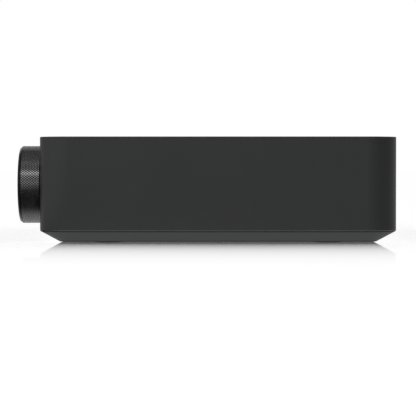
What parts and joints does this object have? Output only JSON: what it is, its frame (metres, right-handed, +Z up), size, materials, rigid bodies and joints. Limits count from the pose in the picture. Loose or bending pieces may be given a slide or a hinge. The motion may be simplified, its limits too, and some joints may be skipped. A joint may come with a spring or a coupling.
{
  "type": "streaming amplifier",
  "caption": "Low dark metal amplifier case with a chamfered base, a knurled volume knob on the front, display and keys, and recessed speaker posts and sockets behind.",
  "frame": {"origin": "on the floor, under the middle of the whole's bounding box, knob included", "axes": "+X to the viewer's right from the front, +Y to the back, +Z up"},
  "size_m": [0.3, 0.2454, 0.068],
  "materials": {
    "case_coat": "fine matt dark grey anodised",
    "tray_coat": "fine matt dark grey coat",
    "gloss_black": "polished black",
    "smoked_lens": "smoked, polished",
    "knurled_metal": "knurled, dark anodised",
    "moulded_black": "matt",
    "key_black": "satin",
    "rubber_black": "matt",
    "panel_coat": "fine black powder coat",
    "screw_steel": "black zinc",
    "plain_steel": "machined",
    "gold_plate": "gold plated",
    "nickel_shell": "nickel plated",
    "cap_red": "gloss",
    "cap_black": "gloss",
    "insert_white": "satin",
    "insert_red": "satin",
    "insert_violet": "satin",
    "board_green": "solder mask",
    "display_glass": "dark",
    "can_black": "sleeved",
    "copper_wire": "tape",
    "sink_black": "black anodised",
    "ferrite": "matt",
    "cable_grey": "matt"
  },
  "bodies": {
    "case": {"wall_band": "case_coat", "roof_plate": "case_coat", "recess_frame": "moulded_black", "base_tray": "tray_coat", "feet": "rubber_black", "case_screws": "screw_steel", "front_fascia": "gloss_black", "display_window": "smoked_lens", "display_module": "display_glass", "encoder_housing": "plain_steel", "encoder_nut": "plain_steel", "front_board": "board_green", "tact_switches": "moulded_black", "headphone_socket": "moulded_black", "rear_panel": "panel_coat", "mains_panel": "panel_coat", "terminal_block": "moulded_black", "post_cores": "gold_plate", "rca_block": "moulded_black", "rca_shells": "gold_plate", "hdmi_socket": "nickel_shell", "ethernet_socket": "moulded_black", "usb_socket": "nickel_shell", "optical_socket": "moulded_black", "mains_inlet": "moulded_black", "mains_pins": "nickel_shell", "pan_screws": "screw_steel", "main_board": "board_green", "power_board": "board_green", "reservoir_capacitors": "can_black", "transformer": "ferrite", "heat_sink": "sink_black", "output_inductors": "ferrite", "network_module": "nickel_shell", "flat_cable": "cable_grey", "rca_insert_left": "insert_white", "rca_insert_right": "insert_red", "rca_insert_sub": "insert_violet"},
    "knob_plunger": {"encoder_plunger": "moulded_black"},
    "knob": {"encoder_shaft": "plain_steel", "knob_hub": "moulded_black", "knob_grip": "knurled_metal", "knob_cap": "gloss_black"},
    "power_key": {"power_button": "key_black"},
    "setup_key": {"setup_button": "key_black"},
    "shutter": {"optical_shutter": "moulded_black"},
    "preset_key_1": {"preset_button_1": "key_black"},
    "preset_key_2": {"preset_button_2": "key_black"},
    "preset_key_3": {"preset_button_3": "key_black"},
    "preset_key_4": {"preset_button_4": "key_black"},
    "preset_key_5": {"preset_button_5": "key_black"},
    "preset_key_6": {"preset_button_6": "key_black"},
    "post_left_minus_ring": {"clamp_ring_left_minus": "gold_plate"},
    "post_left_minus_cap": {"post_cap_left_minus": "cap_black"},
    "post_left_plus_ring": {"clamp_ring_left_plus": "gold_plate"},
    "post_left_plus_cap": {"post_cap_left_plus": "cap_red"},
    "post_right_minus_ring": {"clamp_ring_right_minus": "gold_plate"},
    "post_right_minus_cap": {"post_cap_right_minus": "cap_black"},
    "post_right_plus_ring": {"clamp_ring_right_plus": "gold_plate"},
    "post_right_plus_cap": {"post_cap_right_plus": "cap_red"}
  },
  "joints": [
    {"name": "knob_press", "type": "slide", "parent": "case", "child": "knob_plunger", "axis": [0, 1, 0], "range_m": [0, 0.0005], "stiffness_N_per_m": 800},
    {"name": "knob_turn", "type": "hinge", "parent": "knob_plunger", "child": "knob", "pos_m": [0.1, -0.11425, 0.037], "axis": [0, 1, 0], "continuous": true},
    {"name": "power_press", "type": "slide", "parent": "case", "child": "power_key", "axis": [0, 1, 0], "range_m": [0, 0.0006], "stiffness_N_per_m": 600},
    {"name": "preset_1_press", "type": "slide", "parent": "case", "child": "preset_key_1", "axis": [0, 1, 0], "range_m": [0, 0.0006], "stiffness_N_per_m": 600},
    {"name": "preset_2_press", "type": "slide", "parent": "case", "child": "preset_key_2", "axis": [0, 1, 0], "range_m": [0, 0.0006], "stiffness_N_per_m": 600},
    {"name": "preset_3_press", "type": "slide", "parent": "case", "child": "preset_key_3", "axis": [0, 1, 0], "range_m": [0, 0.0006], "stiffness_N_per_m": 600},
    {"name": "preset_4_press", "type": "slide", "parent": "case", "child": "preset_key_4", "axis": [0, 1, 0], "range_m": [0, 0.0006], "stiffness_N_per_m": 600},
    {"name": "preset_5_press", "type": "slide", "parent": "case", "child": "preset_key_5", "axis": [0, 1, 0], "range_m": [0, 0.0006], "stiffness_N_per_m": 600},
    {"name": "preset_6_press", "type": "slide", "parent": "case", "child": "preset_key_6", "axis": [0, 1, 0], "range_m": [0, 0.0006], "stiffness_N_per_m": 600},
    {"name": "setup_press", "type": "slide", "parent": "case", "child": "setup_key", "axis": [0, -1, 0], "range_m": [0, 0.0005], "stiffness_N_per_m": 600},
    {"name": "shutter_flap", "type": "hinge", "parent": "case", "child": "shutter", "pos_m": [-0.068, 0.10755, 0.0297], "axis": [-1, 0, 0], "range_deg": [0, 85], "stiffness_Nm_per_rad": 0.0004},
    {"name": "post_left_minus_travel", "type": "slide", "parent": "case", "child": "post_left_minus_ring", "axis": [0, 1, 0], "range_m": [0, 0.004]},
    {"name": "post_left_minus_turn", "type": "hinge", "parent": "post_left_minus_ring", "child": "post_left_minus_cap", "pos_m": [0.09452, 0.11775, 0.0378], "axis": [0, -1, 0], "range_deg": [0, 1440]},
    {"name": "post_left_plus_travel", "type": "slide", "parent": "case", "child": "post_left_plus_ring", "axis": [0, 1, 0], "range_m": [0, 0.004]},
    {"name": "post_left_plus_turn", "type": "hinge", "parent": "post_left_plus_ring", "child": "post_left_plus_cap", "pos_m": [0.07548, 0.11775, 0.0378], "axis": [0, -1, 0], "range_deg": [0, 1440]},
    {"name": "post_right_minus_travel", "type": "slide", "parent": "case", "child": "post_right_minus_ring", "axis": [0, 1, 0], "range_m": [0, 0.004]},
    {"name": "post_right_minus_turn", "type": "hinge", "parent": "post_right_minus_ring", "child": "post_right_minus_cap", "pos_m": [0.05452, 0.11775, 0.0378], "axis": [0, -1, 0], "range_deg": [0, 1440]},
    {"name": "post_right_plus_travel", "type": "slide", "parent": "case", "child": "post_right_plus_ring", "axis": [0, 1, 0], "range_m": [0, 0.004]},
    {"name": "post_right_plus_turn", "type": "hinge", "parent": "post_right_plus_ring", "child": "post_right_plus_cap", "pos_m": [0.03547, 0.11775, 0.0378], "axis": [0, -1, 0], "range_deg": [0, 1440]}
  ],
  "couplings": [
    {"joint": "post_left_minus_turn", "follows": "post_left_minus_travel", "rad_per_m": 6283.2},
    {"joint": "post_left_plus_turn", "follows": "post_left_plus_travel", "rad_per_m": 6283.2},
    {"joint": "post_right_minus_turn", "follows": "post_right_minus_travel", "rad_per_m": 6283.2},
    {"joint": "post_right_plus_turn", "follows": "post_right_plus_travel", "rad_per_m": 6283.2}
  ]
}
